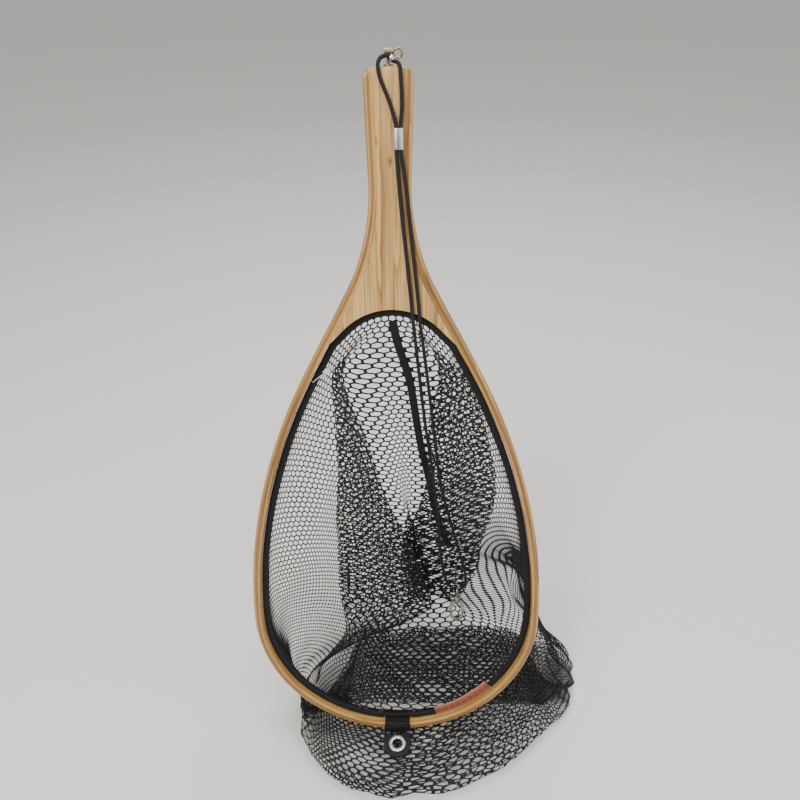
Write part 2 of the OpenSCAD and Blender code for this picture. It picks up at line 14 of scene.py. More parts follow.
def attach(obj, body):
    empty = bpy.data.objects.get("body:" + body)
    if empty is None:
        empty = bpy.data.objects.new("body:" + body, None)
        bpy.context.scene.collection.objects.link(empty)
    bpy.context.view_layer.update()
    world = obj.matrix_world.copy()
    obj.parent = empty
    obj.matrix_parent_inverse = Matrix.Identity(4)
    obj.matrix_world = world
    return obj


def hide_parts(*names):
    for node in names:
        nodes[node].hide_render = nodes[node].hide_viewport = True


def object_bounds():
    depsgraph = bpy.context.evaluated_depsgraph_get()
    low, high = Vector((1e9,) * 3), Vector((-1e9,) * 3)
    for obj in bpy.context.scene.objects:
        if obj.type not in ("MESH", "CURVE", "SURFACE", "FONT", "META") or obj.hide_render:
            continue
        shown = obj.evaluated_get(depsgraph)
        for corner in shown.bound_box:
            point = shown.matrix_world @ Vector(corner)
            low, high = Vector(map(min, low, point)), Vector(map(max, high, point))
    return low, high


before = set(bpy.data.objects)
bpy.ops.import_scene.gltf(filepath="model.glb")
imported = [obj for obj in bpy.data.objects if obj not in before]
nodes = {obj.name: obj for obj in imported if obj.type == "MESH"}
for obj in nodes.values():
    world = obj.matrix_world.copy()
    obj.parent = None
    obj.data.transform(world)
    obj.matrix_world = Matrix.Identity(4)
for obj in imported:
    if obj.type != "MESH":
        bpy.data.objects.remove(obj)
cad_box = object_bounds()
MM = 0.001

# ---- the frame's outline, as in the CAD ----
LEAN = math.radians(17.25)
HALF_HOOP = 137.0
HALF_HANDLE = 16.5
HOOP_LENGTH = 534.0
FRAME_LENGTH = 616.0
THROAT_RADIUS = 168.0
BUTT_FLARE = 1.75
BUTT_RADIUS = 9.0
STRIP_WALL = 2.4
RIM_WALL = 3 * STRIP_WALL
DEPTH = 15.0
MID = DEPTH / 2
SWIVEL_V = FRAME_LENGTH + 10.0
ARCH_TOP = HOOP_LENGTH - 94.0
ARCH_RADIUS = 55.0
ARCH_SPREAD = 45.0
GROUND = cad_box[0].z


def way(degrees):
    """Unit vectors at angles in degrees, as rows."""
    a = np.radians(np.atleast_1d(np.asarray(degrees, float)))
    return np.stack([np.cos(a), np.sin(a)], axis=1)


SIDE_ANGLE = 1.7 * math.degrees(math.atan2(HALF_HOOP - HALF_HANDLE, HOOP_LENGTH - HALF_HOOP))
SIDE_TURN = math.radians(SIDE_ANGLE)
BOTH_RADII = ((HOOP_LENGTH - HALF_HOOP - (HALF_HOOP - HALF_HANDLE) / math.tan(SIDE_TURN))
              * math.sin(SIDE_TURN) / (1 - math.cos(SIDE_TURN)))
SIDE_RADIUS = BOTH_RADII - THROAT_RADIUS
TAPER = (HALF_HOOP - HALF_HANDLE - BOTH_RADII * (1 - math.cos(SIDE_TURN))) / math.sin(SIDE_TURN)
SIDE_CENTRE = np.array([HALF_HOOP - SIDE_RADIUS, HALF_HOOP])
SIDE_END = SIDE_CENTRE + SIDE_RADIUS * way(SIDE_ANGLE)[0]
THROAT_START = SIDE_END + TAPER * way(SIDE_ANGLE + 90)[0]
THROAT_CENTRE = THROAT_START + THROAT_RADIUS * way(SIDE_ANGLE)[0]
HANDLE_START = THROAT_CENTRE - THROAT_RADIUS * way(-BUTT_FLARE)[0]
HALF_BUTT = HANDLE_START[0] + (FRAME_LENGTH - HANDLE_START[1]) * math.tan(math.radians(BUTT_FLARE))
ARCH_CENTRE = np.array([0.0, ARCH_TOP - ARCH_RADIUS])


def in_row(points):
    """Net-plane points in millimetres to the CAD frame in metres."""
    p = np.asarray(points, float)
    up, out = p[..., 1] - SWIVEL_V, p[..., 2] - MID
    y = up * math.sin(LEAN) - out * math.cos(LEAN)
    z = up * math.cos(LEAN) + out * math.sin(LEAN)
    return np.stack([p[..., 0], y, z], axis=-1) * MM


def from_row(points):
    """CAD points in metres back to the net plane, in millimetres."""
    p = np.asarray(points, float) / MM
    up = p[..., 1] * math.sin(LEAN) + p[..., 2] * math.cos(LEAN)
    out = p[..., 2] * math.sin(LEAN) - p[..., 1] * math.cos(LEAN)
    return np.stack([p[..., 0], up + SWIVEL_V, out + MID], axis=-1)


def half_outline():
    """The right half of the frame's outer edge from tip to butt: points, and inward directions."""
    tip, side = np.linspace(-90, 0, 61), np.linspace(0, SIDE_ANGLE, 31)[1:]
    throat = np.linspace(180 + SIDE_ANGLE, 180 - BUTT_FLARE, 25)
    handle = np.linspace(0, 1, 14)[1:, None]
    end = HANDLE_START + (FRAME_LENGTH + 5 - HANDLE_START[1]) / math.cos(
        math.radians(BUTT_FLARE)) * way(90 - BUTT_FLARE)[0]
    taper = np.linspace(0, 1, 10)[1:-1, None]
    points = np.concatenate([
        [0, HALF_HOOP] + HALF_HOOP * way(tip), SIDE_CENTRE + SIDE_RADIUS * way(side),
        SIDE_END + taper * (THROAT_START - SIDE_END), THROAT_CENTRE + THROAT_RADIUS * way(throat),
        HANDLE_START + handle * (end - HANDLE_START)])
    inward = np.concatenate([
        -way(tip), -way(side), np.repeat(-way(SIDE_ANGLE), len(taper), 0), way(throat),
        np.repeat(-way(-BUTT_FLARE), len(handle), 0)])
    return points, inward


def opening_outline(inset, count):
    """The mouth of the bag: count points evenly along it, starting at the tip and going right."""
    tip, side = way(np.linspace(-90, 0, 60)), way(np.linspace(0, SIDE_ANGLE, 40)[1:])
    arch = way(np.linspace(90 - ARCH_SPREAD, 90, 20))
    radius = ARCH_RADIUS - inset + RIM_WALL
    start = SIDE_CENTRE + (SIDE_RADIUS - inset) * way(SIDE_ANGLE)[0]
    along, down = way(SIDE_ANGLE + 90)[0], way(-ARCH_SPREAD)[0]
    gap = ARCH_CENTRE + radius * arch[0] - start
    cross = along[0] * down[1] - along[1] * down[0]
    corner = start + along * (gap[0] * down[1] - gap[1] * down[0]) / cross
    right = np.concatenate([
        [0, HALF_HOOP] + (HALF_HOOP - inset) * tip, SIDE_CENTRE + (SIDE_RADIUS - inset) * side,
        [corner], ARCH_CENTRE + radius * arch])
    left = (right * [-1, 1])[::-1][1:]
    loop = np.concatenate([right, left])
    run = np.concatenate([[0], np.cumsum(np.linalg.norm(np.diff(loop, axis=0), axis=1))])
    at = np.linspace(0, run[-1], count, endpoint=False)
    return np.stack([np.interp(at, run, loop[:, k]) for k in (0, 1)], axis=1), run[-1]


# ---- camera, light and floor ----
def add_camera():
    data = bpy.data.cameras.new("camera")
    data.lens, data.sensor_width = 29.02, 36.0
    camera = bpy.data.objects.new("camera", data)
    bpy.context.scene.collection.objects.link(camera)
    right = Vector((0.99974, 0.01696, -0.01539))
    up = Vector((0.00203, 0.60375, 0.79717))
    camera.matrix_world = Matrix((
        (right.x, up.x, 0.02281, 0.01854), (right.y, up.y, -0.79699, -0.51981),
        (right.z, up.z, 0.60356, 0.08001), (0, 0, 0, 1)))
    bpy.context.scene.camera = camera


def add_area_light(name, place, target, size, watts, colour):
    data = bpy.data.lights.new(name, "AREA")
    data.size, data.energy, data.color = size, watts, colour
    light = bpy.data.objects.new(name, data)
    light.location = place
    light.rotation_mode = "QUATERNION"
    light.rotation_quaternion = (Vector(target) - Vector(place)).to_track_quat("-Z", "Y")
    bpy.context.scene.collection.objects.link(light)


def add_studio():
    target = (0, -0.1, -0.35)
    add_area_light("key", (-0.8, -1.1, 1.1), target, 0.8, 30, (1, 0.96, 0.91))
    add_area_light("fill", (1.3, -0.8, 0.4), target, 1.2, 12, (0.95, 0.97, 1))
    add_area_light("top", (0.2, 0.5, 1.2), target, 1.0, 18, (1, 0.98, 0.95))
    world = bpy.data.worlds.new("studio")
    world.use_nodes = True
    world.node_tree.nodes["Background"].inputs[0].default_value = (0.86, 0.84, 0.81, 1)
    world.node_tree.nodes["Background"].inputs[1].default_value = 0.7
    bpy.context.scene.world = world


# ---- materials ----
class Shader:
    """A material being built: node() adds a node, sets its inputs or links them, and returns it."""

    def __init__(self, name):
        self.material = bpy.data.materials.new(name)
        self.material.use_nodes = True
        self.tree = self.material.node_tree
        self.main = self.tree.nodes["Principled BSDF"]

    def put(self, socket, value):
        if isinstance(value, bpy.types.NodeSocket):
            self.tree.links.new(value, socket)
        elif isinstance(value, (tuple, list)) and socket.type == "RGBA" and len(value) == 3:
            socket.default_value = (*value, 1)
        else:
            socket.default_value = value

    def node(self, kind, inputs=(), **settings):
        made = self.tree.nodes.new("ShaderNode" + kind)
        for key, value in settings.items():
            setattr(made, key, value)
        for key, value in dict(inputs).items():
            self.put(made.inputs[key], value)
        return made

    def set(self, **inputs):
        for key, value in inputs.items():
            self.put(self.main.inputs[key.replace("_", " ")], value)

    def math(self, operation, a, b=0.0):
        return self.node("Math", {0: a, 1: b}, operation=operation).outputs[0]

    def grain(self, scale, start=(0, 0, 0)):
        """The piece's own coordinates (across, along, layer) in metres, scaled and then moved."""
        place = self.node("Attribute", attribute_name="grain").outputs["Vector"]
        return self.node("Mapping", {"Vector": place, "Scale": scale, "Location": start}).outputs[0]

    def solid(self, scale):
        place = self.node("TexCoord").outputs["Object"]
        return self.node("Mapping", {"Vector": place, "Scale": scale}).outputs[0]

    def noise(self, vector, scale=1.0, detail=4.0, rough=0.55, distortion=0.0):
        return self.node("TexNoise", {"Vector": vector, "Scale": scale, "Detail": detail,
                                      "Roughness": rough, "Distortion": distortion}).outputs[0]

    def spread(self, value, low, high, to_low=0.0, to_high=1.0):
        return self.node("MapRange", {0: value, 1: low, 2: high, 3: to_low, 4: to_high},
                         clamp=True).outputs[0]

    def ramp(self, value, stops):
        made = self.node("ValToRGB", {0: value})
        band = made.color_ramp
        while len(band.elements) < len(stops):
            band.elements.new(0.5)
        for element, (place, colour) in zip(band.elements, stops):
            element.position, element.color = place, (*colour, 1)
        return made.outputs[0]

    def mix(self, share, a, b, blend="MIX"):
        made = self.node("Mix", data_type="RGBA", blend_type=blend)
        self.put(made.inputs[0], share)
        self.put(made.inputs[6], a)
        self.put(made.inputs[7], b)
        return made.outputs[2]

    def bump(self, height, strength, distance, normal=None):
        inputs = {"Height": height, "Strength": strength, "Distance": distance}
        if normal is not None:
            inputs["Normal"] = normal
        return self.node("Bump", inputs).outputs[0]


# Off the noise's own lattice, so that the flat faces of the wood don't lie on it
WOOD_START = (0.37, 0.61, 0.43)


def wood(name, pale, dark, ring_scale, knots=()):
    """Satin-varnished wood: long growth figure, fine pores along the grain and a few knots."""
    s = Shader(name)
    figure = s.noise(s.grain((ring_scale, 2.6, ring_scale), WOOD_START), 1.0, 3.0, 0.5, 0.6)
    bands = s.math("FRACT", s.math("MULTIPLY", figure, 8.0))
    bands = s.math("POWER", bands, 1.6)
    streaks = s.noise(s.grain((620, 7, 620), WOOD_START), 1.0, 4.0, 0.65)
    fine = s.noise(s.grain((2400, 22, 2400), WOOD_START), 1.0, 3.0, 0.6)
    pores = s.spread(s.noise(s.grain((3200, 60, 3200)), 1.0, 2.0), 0.58, 0.70)
    broad = s.noise(s.grain((90, 3.5, 90), WOOD_START), 1.0, 2.0)
    tone = s.math("ADD", s.math("MULTIPLY", bands, 0.42), s.math("MULTIPLY", streaks, 0.62))
    tone = s.math("ADD", tone, s.math("MULTIPLY", s.math("SUBTRACT", broad, 0.5), 0.9))
    tone = s.math("ADD", tone, s.math("MULTIPLY", s.math("SUBTRACT", fine, 0.5), 0.85))
    middle = tuple(0.6 * a + 0.4 * b for a, b in zip(pale, dark))
    colour = s.ramp(tone, [(0.22, pale), (0.50, middle), (0.84, dark)])
    colour = s.mix(s.math("MULTIPLY", pores, 0.45), colour, tuple(0.5 * c for c in dark))
    for place, size in knots:
        here = s.node("Attribute", attribute_name="grain").outputs["Vector"]
        apart = s.node("VectorMath", {0: here, 1: place}, operation="SUBTRACT").outputs[0]
        apart = s.node("VectorMath", {0: apart, 1: (1.0, 0.5, 0.15)}, operation="MULTIPLY")
        far = s.node("VectorMath", {0: apart.outputs[0]}, operation="LENGTH").outputs["Value"]
        colour = s.mix(s.spread(far, 0.4 * size, 3.2 * size, 0.85, 0.0), colour, (0.13, 0.06, 0.022))
    s.set(Base_Color=colour, Roughness=s.spread(streaks, 0.2, 0.8, 0.30, 0.42),
          Coat_Weight=0.3, Coat_Roughness=0.25, Specular_IOR_Level=0.4)
    s.set(Normal=s.bump(streaks, 0.12, 0.0002, s.bump(pores, 0.15, 0.0002)))
    return s.material


def metal(name, colour, rough, wear=(0.9, 0.88, 0.85), grime=0.35):
    """Metal with fine scratches, darker tarnish in patches and a little bright wear."""
    s = Shader(name)
    patches = s.noise(s.solid((220, 220, 220)), 1.0, 5.0, 0.6)
    scratch = s.noise(s.solid((2500, 700, 4000)), 1.0, 3.0, 0.7)
    dark = tuple(0.45 * c for c in colour)
    tint = s.mix(s.spread(patches, 0.35, 0.7, 0.0, grime), colour, dark)
    tint = s.mix(s.spread(scratch, 0.62, 0.75, 0.0, 0.35), tint, wear)
    s.set(Base_Color=tint, Metallic=1.0)
    s.set(Roughness=s.spread(patches, 0.25, 0.75, rough, rough + 0.18))
    s.set(Normal=s.bump(scratch, 0.12, 0.00008))
    return s.material


def crimped(name, colour, seam_across):
    """A pressed metal band with the zigzag line in which its two halves meet."""
    material = metal(name, colour, 0.3)
    s = Shader.__new__(Shader)
    s.material, s.tree = material, material.node_tree
    s.main = s.tree.nodes["Principled BSDF"]
    spot = s.node("SeparateXYZ", {0: s.grain((1, 1, 1))}).outputs
    steps = s.math("ABSOLUTE", s.math("SUBTRACT", s.math(
        "FRACT", s.math("DIVIDE", spot[1], 0.0024)), 0.5))
    line = s.math("ADD", seam_across - 0.0006, s.math("MULTIPLY", steps, 0.0024))
    off = s.math("ABSOLUTE", s.math("SUBTRACT", spot[0], line))
    cut = s.spread(off, 0.00022, 0.00045, 1.0, 0.0)
    tint = s.main.inputs["Base Color"].links[0].from_socket
    s.set(Base_Color=s.mix(cut, tint, (0.02, 0.02, 0.025)))
    return material


def leather(name):
    s = Shader(name)
    pebble = s.node("TexVoronoi", {"Vector": s.solid((1300, 1300, 1300)), "Scale": 1.0})
    crease = s.noise(s.solid((260, 260, 260)), 1.0, 5.0, 0.6)
    tone = s.spread(crease, 0.35, 0.75)
    s.set(Base_Color=s.mix(tone, (0.005, 0.005, 0.005), (0.020, 0.019, 0.018)),
          Roughness=s.spread(crease, 0.3, 0.7, 0.38, 0.6), Specular_IOR_Level=0.3)
    s.set(Normal=s.bump(pebble.outputs["Distance"], 0.35, 0.0003,
                        s.bump(crease, 0.2, 0.0006)))
    return s.material


def strand_cloth(name):
    """The knitted nylon of the mesh: near-black with a dull sheen."""
    s = Shader(name)
    fuzz = s.noise(s.solid((900, 900, 900)), 1.0, 3.0)
    s.set(Base_Color=s.mix(fuzz, (0.004, 0.004, 0.005), (0.018, 0.018, 0.020)), Roughness=0.6,
          Specular_IOR_Level=0.3)
    s.set(Normal=s.bump(fuzz, 0.3, 0.0002))
    return s.material


def woven(name, dark, light, across, along):
    """Woven or braided cloth: ribs across and along its grain coordinates."""
    s = Shader(name)
    spot = s.node("SeparateXYZ", {0: s.grain((1, 1, 1))}).outputs
    left = s.math("ADD", s.math("MULTIPLY", spot[0], across), s.math("MULTIPLY", spot[1], along))
    right = s.math("SUBTRACT", s.math("MULTIPLY", spot[1], along), s.math("MULTIPLY", spot[0], across))
    weave = s.math("MULTIPLY", s.math("SINE", left), s.math("SINE", right))
    fuzz = s.noise(s.grain((700, 700, 700)), 1.0, 3.0)
    tone = s.math("ADD", s.spread(weave, -1, 1, 0.0, 0.7), s.math("MULTIPLY", fuzz, 0.4))
    s.set(Base_Color=s.mix(tone, dark, light), Roughness=0.75, Specular_IOR_Level=0.25)
    s.set(Normal=s.bump(weave, 0.5, 0.0002))
    return s.material


def label_cloth(name):
    """A woven label with a plain generic pattern: a stitched frame and a row of lozenges."""
    s = Shader(name)
    spot = s.node("SeparateXYZ", {0: s.grain((1, 1, 1))}).outputs
    across, along = spot[0], spot[1]
    steps = s.math("ABSOLUTE", s.math("SUBTRACT", s.math(
        "FRACT", s.math("DIVIDE", along, 0.0072)), 0.5))
    middle = s.math("DIVIDE", s.math("ABSOLUTE", s.math("SUBTRACT", across, 0.0052)), 0.0052)
    lozenge = s.spread(s.math("ADD", steps, middle), 0.42, 0.50, 1.0, 0.0)
    lozenge = s.math("MULTIPLY", lozenge, s.spread(s.math("ADD", steps, middle), 0.20, 0.26))
    edge = s.spread(middle, 0.78, 0.84)
    weave = s.noise(s.grain((2600, 2600, 2600)), 1.0, 2.0)
    base = s.mix(s.spread(weave, 0.3, 0.7), (0.20, 0.042, 0.016), (0.36, 0.095, 0.035))
    colour = s.mix(lozenge, base, (0.035, 0.02, 0.018))
    colour = s.mix(s.math("MULTIPLY", edge, 0.6), colour, (0.50, 0.25, 0.12))
    s.set(Base_Color=colour, Roughness=0.75, Sheen_Weight=0.2)
    s.set(Normal=s.bump(weave, 0.4, 0.0002))
    return s.material


def clear_plastic(name):
    s = Shader(name)
    s.set(Base_Color=(0.93, 0.95, 0.97), Roughness=0.12, IOR=1.45, Transmission_Weight=0.6,
          Alpha=0.75)
    return s.material


def pale_floor(name):
    s = Shader(name)
    s.set(Base_Color=(0.78, 0.77, 0.75), Roughness=0.6)
    return s.material


# ---- mesh helpers ----
def add_mesh(name, points, faces, body, material, grain=None, smooth=True, sharp=None):
    """A mesh object in the CAD frame that rides on a body and carries its finish."""
    mesh = bpy.data.meshes.new(name)
    mesh.from_pydata([tuple(p) for p in points], [], [tuple(f) for f in faces])
    mesh.update()
    if grain is not None:
        attribute = mesh.attributes.new("grain", "FLOAT_VECTOR", "POINT")
        attribute.data.foreach_set("vector", np.asarray(grain, np.float32).ravel())
    piece = bpy.data.objects.new(name, mesh)
    bpy.context.scene.collection.objects.link(piece)
    mesh.materials.append(material)
    if smooth:
        mesh.shade_smooth()
    if sharp:
        mesh.set_sharp_from_angle(angle=math.radians(sharp))
    if body:
        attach(piece, body)
    return piece


def apply_modifiers(piece):
    """Bakes a piece's modifiers into its mesh."""
    bpy.context.view_layer.update()
    graph = bpy.context.evaluated_depsgraph_get()
    baked = bpy.data.meshes.new_from_object(piece.evaluated_get(graph))
    piece.modifiers.clear()
    piece.data = baked


def tube_faces(rings, sides, closed=False):
    """Quads joining rings of sides points each; caps at both ends unless the run is closed."""
    faces = []
    for r in range(rings if closed else rings - 1):
        a, b = r * sides, ((r + 1) % rings) * sides
        for k in range(sides):
            n = (k + 1) % sides
            faces.append((a + k, a + n, b + n, b + k))
    if not closed:
        faces.append(tuple(range(sides))[::-1])
        faces.append(tuple((rings - 1) * sides + k for k in range(sides)))
    return faces


def smooth_path(points, per_span):
    """A Catmull-Rom curve through the points, with per_span points in each span."""
    p = np.asarray(points, float)
    ends = np.concatenate([[2 * p[0] - p[1]], p, [2 * p[-1] - p[-2]]])
    out = []
    for k in range(len(p) - 1):
        a, b, c, d = ends[k:k + 4]
        for t in np.linspace(0, 1, per_span, endpoint=False):
            out.append(0.5 * (2 * b + (c - a) * t + (2 * a - 5 * b + 4 * c - d) * t ** 2
                              + (3 * b - a - 3 * c + d) * t ** 3))
    return np.array(out + [p[-1]])


def sweep(path, profile, upright=None, closed=False):
    """Points and grain of a profile (x, y) carried along a path, x and y across the path.

    upright fixes the profile's y direction at every point; without it the frame turns as
    little as it can."""
    path, profile = np.asarray(path, float), np.asarray(profile, float)
    if closed:
        along = np.roll(path, -1, 0) - np.roll(path, 1, 0)
    else:
        along = np.gradient(path, axis=0)
    along /= np.linalg.norm(along, axis=1)[:, None]
    ups = np.zeros_like(path)
    up = np.array([0.0, 0.0, 1.0]) if abs(along[0][2]) < 0.9 else np.array([0.0, 1.0, 0.0])
    for k, direction in enumerate(along):
        if upright is not None:
            up = np.asarray(upright[k] if np.ndim(upright) == 2 else upright, float)
        up = up - direction * (up @ direction)
        up /= np.linalg.norm(up)
        ups[k] = up
    side = np.cross(ups, along)
    scaled = profile if profile.ndim == 3 else np.repeat(profile[None], len(path), 0)
    points = (path[:, None] + side[:, None] * scaled[:, :, :1] + ups[:, None] * scaled[:, :, 1:])
    run = np.concatenate([[0], np.cumsum(np.linalg.norm(np.diff(path, axis=0), axis=1))])
    edge = np.linalg.norm(np.roll(scaled[0], -1, 0) - scaled[0], axis=1)
    around = np.concatenate([[0], np.cumsum(edge)[:-1]])
    grain = np.stack([np.tile(around, len(path)), np.repeat(run, scaled.shape[1]),
                      np.zeros(len(path) * scaled.shape[1])], axis=1)
    return points.reshape(-1, 3), grain


def round_profile(radius, sides):
    a = np.linspace(0, 2 * math.pi, sides, endpoint=False)
    return np.stack([radius * np.cos(a), radius * np.sin(a)], axis=1)


def strap_profile(width, thick, radius, steps=4):
    """A flat strap's section with rounded edges, centred."""
    turn = np.linspace(0, 90, steps)
    corners = [(1, 1, 0), (-1, 1, 90), (-1, -1, 180), (1, -1, 270)]
    return np.concatenate([
        np.array([sx * (width / 2 - radius), sy * (thick / 2 - radius)]) + radius * way(turn + start)
        for sx, sy, start in corners])


# ---- the wooden frame ----
def outline_stations():
    """The whole outline from the right of the butt down round the tip to the left of the butt."""
    points, inward = half_outline()
    flip = np.array([-1, 1])
    return (np.concatenate([points[::-1], points[1:] * flip]),
            np.concatenate([inward[::-1], inward[1:] * flip]))


def strip_piece(name, node, material, near, far, near_round, far_round, groove):
    """One bent lamination from inset near to far, with rounded edges where it is exposed."""
    base, inward = outline_stations()
    in_hoop = np.clip((THROAT_START[1] + 5 - base[:, 1]) / 40, 0, 1)
    soft = np.clip((410 - base[:, 1]) / 12, 0, 1)
    run = np.concatenate([[0], np.cumsum(np.linalg.norm(np.diff(base, axis=0), axis=1))])
    rings, grains = [], []
    for k, (point, direction) in enumerate(zip(base, inward)):
        a, b = near_round, max(far_round * soft[k], 0.02)
        notch, half = 1.1 * groove * in_hoop[k], 1.15
        outer = [(near + a - a * math.sin(t), a - a * math.cos(t))
                 for t in np.linspace(0, math.pi / 2, 6)] if a else [(near, 0)]
        inner = [(far - b + b * math.cos(t), b - b * math.sin(t))
                 for t in np.linspace(0, math.pi / 2, 6)] if far_round else [(far, 0)]
        if groove:
            cut = [(near, MID - half - 0.15), (near + notch, MID - half)]
        else:
            cut = [(near, MID - half)]
        back = [p for p in reversed(inner)] + outer + cut
        if far_round:
            back = inner[::-1][:0] + inner + outer + cut
        profile = back + [(d, DEPTH - w) for d, w in reversed(back)]
        spots = [(point[0] + d * direction[0], point[1] + d * direction[1], w) for d, w in profile]
        rings += spots
        grains += [(d * MM, run[k] * MM, w * MM) for d, w in profile]
    sides = len(rings) // len(base)
    piece = add_mesh(name, in_row(rings), tube_faces(len(base), sides), "frame", material,
                     grains, sharp=40)
    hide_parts(node)
    return piece


def core_outline():
    """The handle core's outline and which of its points lie on the throat arch."""
    points, inward = half_outline()
    inner = points + RIM_WALL * inward
    foot = ARCH_CENTRE + ARCH_RADIUS * way(90 - ARCH_SPREAD)[0]
    slope = -math.tan(math.radians(ARCH_SPREAD))
    height = inner[:, 1] - (foot[1] + (inner[:, 0] - foot[0]) * slope * 1.0)
    start = int(np.argmax((height > 0) & (inner[:, 1] > 380)))
    a, b = inner[start - 1], inner[start]
    ha, hb = height[start - 1], height[start]
    horn = a + (b - a) * (-ha / (hb - ha))
    end = inner[-1] * 1.0
    right = np.concatenate([[horn], inner[start:-1], [[end[0], FRAME_LENGTH + 5]]])
    left = (right * [-1, 1])[::-1]
    arch = ARCH_CENTRE + ARCH_RADIUS * way(np.linspace(90 + ARCH_SPREAD, 90 - ARCH_SPREAD, 41))
    outline = np.concatenate([right, left, arch])
    on_arch = np.zeros(len(outline), bool)
    on_arch[len(right) + len(left) - 1:] = True
    on_arch[0] = True
    return outline, on_arch


def handle_piece(material):
    outline, on_arch = core_outline()
    count = len(outline)
    flat = [(u, v, w) for w in (0.0, DEPTH) for u, v in outline]
    mesh = bmesh.new()
    spots = [mesh.verts.new(p) for p in flat]
    mesh.faces.new(spots[:count][::-1])
    mesh.faces.new(spots[count:])
    for k in range(count):
        n = (k + 1) % count
        mesh.faces.new((spots[k], spots[n], spots[count + n], spots[count + k]))
    chosen = [e for e in mesh.edges
              if all(on_arch[v.index % count] for v in e.verts) and
              abs(e.verts[0].co.z - e.verts[1].co.z) < 1e-6]
    mesh.verts.index_update()
    bmesh.ops.bevel(mesh, geom=chosen, offset=2.0, segments=5, profile=0.5, affect="EDGES",
                    clamp_overlap=True)
    bmesh.ops.triangulate(mesh, faces=[f for f in mesh.faces if len(f.verts) > 4])
    data = bpy.data.meshes.new("handle_wood_core")
    mesh.to_mesh(data)
    mesh.free()
    local = np.array([v.co for v in data.vertices])
    faces = [tuple(p.vertices) for p in data.polygons]
    bpy.data.meshes.remove(data)
    piece = add_mesh("handle_wood_core", in_row(local), faces, "frame", material,
                     local * MM, sharp=40)
    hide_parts("handle_core")
    return piece


def butt_cutter():
    """A block with the butt's rounded end, used to trim every wooden piece."""
    corner = way(np.linspace(0, 90, 13)) * BUTT_RADIUS
    top = FRAME_LENGTH - BUTT_RADIUS
    reach = HALF_BUTT - BUTT_RADIUS
    right = [(2 * HALF_HOOP, -20), (2 * HALF_HOOP, top - 60), (HALF_BUTT + 0.2, top - 40),
             (HALF_BUTT + 0.05, top - 1)] + [(reach + x, top + y) for x, y in corner]
    outline = right + [(-x, y) for x, y in reversed(right)]
    soft = [0.0, 0.5, 1.0, 1.5, 2.0]
    rings = []
    for inset, w in [(2.0, -0.01), (0.95, 0.30), (0.3, 0.95), (0, 2.0), (0, DEPTH - 2.0),
                     (0.3, DEPTH - 0.95), (0.95, DEPTH - 0.30), (2.0, DEPTH + 0.01)]:
        for x, y in outline:
            near = min(1.0, max(0.0, (y - (top - 1)) / 4.0))
            scale = inset * near
            length = math.hypot(x, y - top + 12) or 1
            rings.append((x - scale * x / length, y - scale * (y - top + 12) / length, w))
    count = len(outline)
    faces = tube_faces(8, count)
    cutter = add_mesh("butt_cutter", in_row(rings), faces, None, None, smooth=False)
    return cutter


def trim(pieces, cutter):
    for piece in pieces:
        cut = piece.modifiers.new("trim", "BOOLEAN")
        cut.operation, cut.object, cut.solver = "INTERSECT", cutter, "EXACT"
        apply_modifiers(piece)
        piece.data.set_sharp_from_angle(angle=math.radians(40))
    bpy.data.objects.remove(cutter)


def points_of(piece):
    """A piece's vertices in the net plane, in millimetres."""
    spots = np.empty(3 * len(piece.data.vertices))
    piece.data.vertices.foreach_get("co", spots)
    world = np.array(piece.matrix_world)
    return from_row(spots.reshape(-1, 3) @ world[:3, :3].T + world[:3, 3])


def set_grain(piece, grain):
    """Gives a piece the coordinates its material's figure follows, from millimetres."""
    old = piece.data.attributes.get("grain")
    if old:
        piece.data.attributes.remove(old)
    attribute = piece.data.attributes.new("grain", "FLOAT_VECTOR", "POINT")
    attribute.data.foreach_set("vector", (np.asarray(grain) * MM).astype(np.float32).ravel())


def bent_grain(points):
    """Coordinates that follow the bent strips: inset, length along the outline, depth."""
    base, inward = outline_stations()
    run = np.concatenate([[0], np.cumsum(np.linalg.norm(np.diff(base, axis=0), axis=1))])
    along = np.gradient(base, axis=0)
    along /= np.linalg.norm(along, axis=1)[:, None]
    gap = points[:, None, :2] - base[None]
    near = np.argmin((gap ** 2).sum(2), axis=1)
    gap = gap[np.arange(len(points)), near]
    return np.stack([(gap * inward[near]).sum(1), run[near] + (gap * along[near]).sum(1),
                     points[:, 2]], axis=1)


# ---- the mesh bag ----
BAG_DEPTH = 470.0
BAG_INSET = 12.5
SPILL_CENTRE = np.array([48.0, in_row([0, 0, 0])[1] / MM + 10])
SPILL_REACH = np.array([148.0, 90.0])
AROUND = 360
DOWN = 120


def smoothstep(low, high, x):
    t = np.clip((x - low) / (high - low), 0, 1)
    return t * t * (3 - 2 * t)


def ripple(x, y, seed):
    """A smooth repeatable unevenness made of a few crossing waves, from about -1 to 1."""
    rng = np.random.default_rng(seed)
    total = np.zeros(np.broadcast(x, y).shape)
    for wave in range(7):
        angle, phase = rng.uniform(0, math.pi), rng.uniform(0, 2 * math.pi)
        rate = rng.uniform(0.6, 1.9)
        total = total + np.sin(rate * (x * math.cos(angle) + y * math.sin(angle)) + phase)
    return total / 3.2


